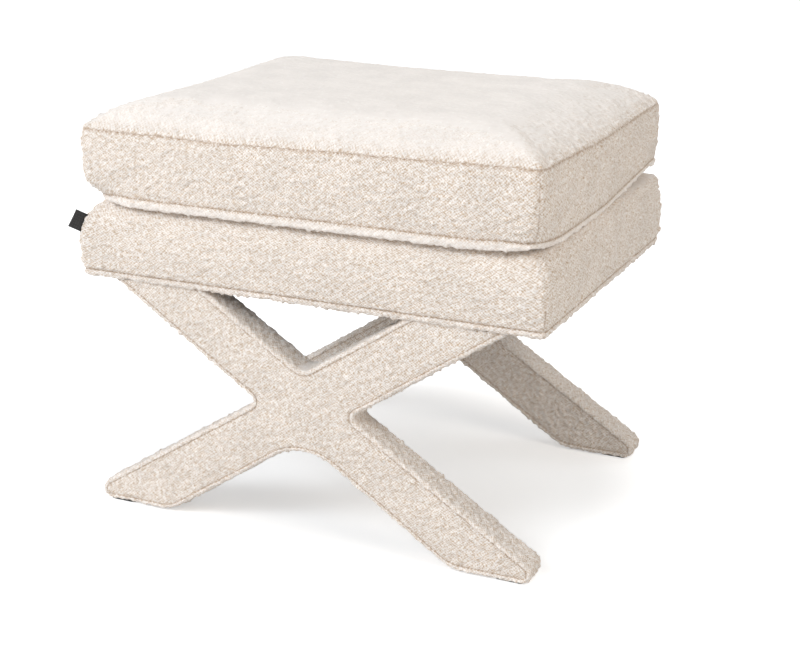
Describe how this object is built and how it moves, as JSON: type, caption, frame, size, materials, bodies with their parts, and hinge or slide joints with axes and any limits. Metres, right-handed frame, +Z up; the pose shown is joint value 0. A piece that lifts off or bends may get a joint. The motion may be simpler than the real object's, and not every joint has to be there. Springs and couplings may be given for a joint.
{
  "type": "vanity stool",
  "caption": "Upholstered vanity stool: a padded deck on crossed, fabric-covered leg frames, with a loose boxed seat cushion that has a zip at the back.",
  "frame": {"origin": "on the floor under the middle of the seat", "axes": "+X to the right as seen from the front, +Y to the back, +Z up"},
  "size_m": [0.6175, 0.4845, 0.5245],
  "materials": {
    "boucle": "matte boucle cloth over wadding",
    "boucle_band": "matte boucle cloth over wadding",
    "frame_wood": "planed, unfinished",
    "plywood": "sanded, unfinished",
    "foam": "open-cell, matte",
    "dust_cloth": "spunbonded, matte",
    "tag_cloth": "woven, matte",
    "glide_plastic": "moulded, matte",
    "zinc_steel": "zinc plated",
    "zip_tape": "woven, matte",
    "zip_teeth": "moulded, satin",
    "zip_metal": "nickel plated"
  },
  "bodies": {
    "base": {"front_leg_rising": "frame_wood", "front_leg_falling": "frame_wood", "front_arch_block": "frame_wood", "front_left_band": "boucle_band", "front_right_band": "boucle_band", "front_upper_band": "boucle_band", "front_arch_band": "boucle_band", "front_outer_face": "boucle", "front_inner_face": "boucle", "rear_leg_rising": "frame_wood", "rear_leg_falling": "frame_wood", "rear_arch_block": "frame_wood", "rear_left_band": "boucle_band", "rear_right_band": "boucle_band", "rear_upper_band": "boucle_band", "rear_arch_band": "boucle_band", "rear_outer_face": "boucle", "rear_inner_face": "boucle", "front_left_glide": "glide_plastic", "front_right_glide": "glide_plastic", "rear_left_glide": "glide_plastic", "rear_right_glide": "glide_plastic", "front_rail": "frame_wood", "rear_rail": "frame_wood", "left_rail": "frame_wood", "right_rail": "frame_wood", "front_left_block": "frame_wood", "front_right_block": "frame_wood", "rear_left_block": "frame_wood", "rear_right_block": "frame_wood", "seat_board": "plywood", "deck_foam": "foam", "deck_cover": "boucle", "dust_cover": "dust_cloth", "front_left_outer_bolt": "zinc_steel", "front_left_inner_bolt": "zinc_steel", "front_right_outer_bolt": "zinc_steel", "front_right_inner_bolt": "zinc_steel", "rear_left_outer_bolt": "zinc_steel", "rear_left_inner_bolt": "zinc_steel", "rear_right_outer_bolt": "zinc_steel", "rear_right_inner_bolt": "zinc_steel", "side_tag": "tag_cloth"},
    "cushion": {"cushion_core": "foam", "cushion_top_panel": "boucle", "cushion_bottom_panel": "boucle", "front_boxing": "boucle", "left_boxing": "boucle", "right_boxing": "boucle", "rear_boxing_upper": "boucle", "rear_boxing_lower": "boucle", "zip_tape": "zip_tape", "zip_chain": "zip_teeth"},
    "zip_slider": {"zip_slider": "zip_metal"},
    "zip_pull": {"zip_pull": "zip_metal"}
  },
  "joints": [
    {"name": "cushion_lift", "type": "slide", "parent": "base", "child": "cushion", "axis": [0, 0, 1], "range_m": [0, 0.2]},
    {"name": "zip_slide", "type": "slide", "parent": "cushion", "child": "zip_slider", "axis": [-1, 0, 0], "range_m": [0, 0.512]},
    {"name": "zip_pull_swing", "type": "hinge", "parent": "zip_slider", "child": "zip_pull", "pos_m": [0.256, 0.24035, 0.4435], "axis": [0, 0, -1], "range_deg": [0, 175]}
  ]
}
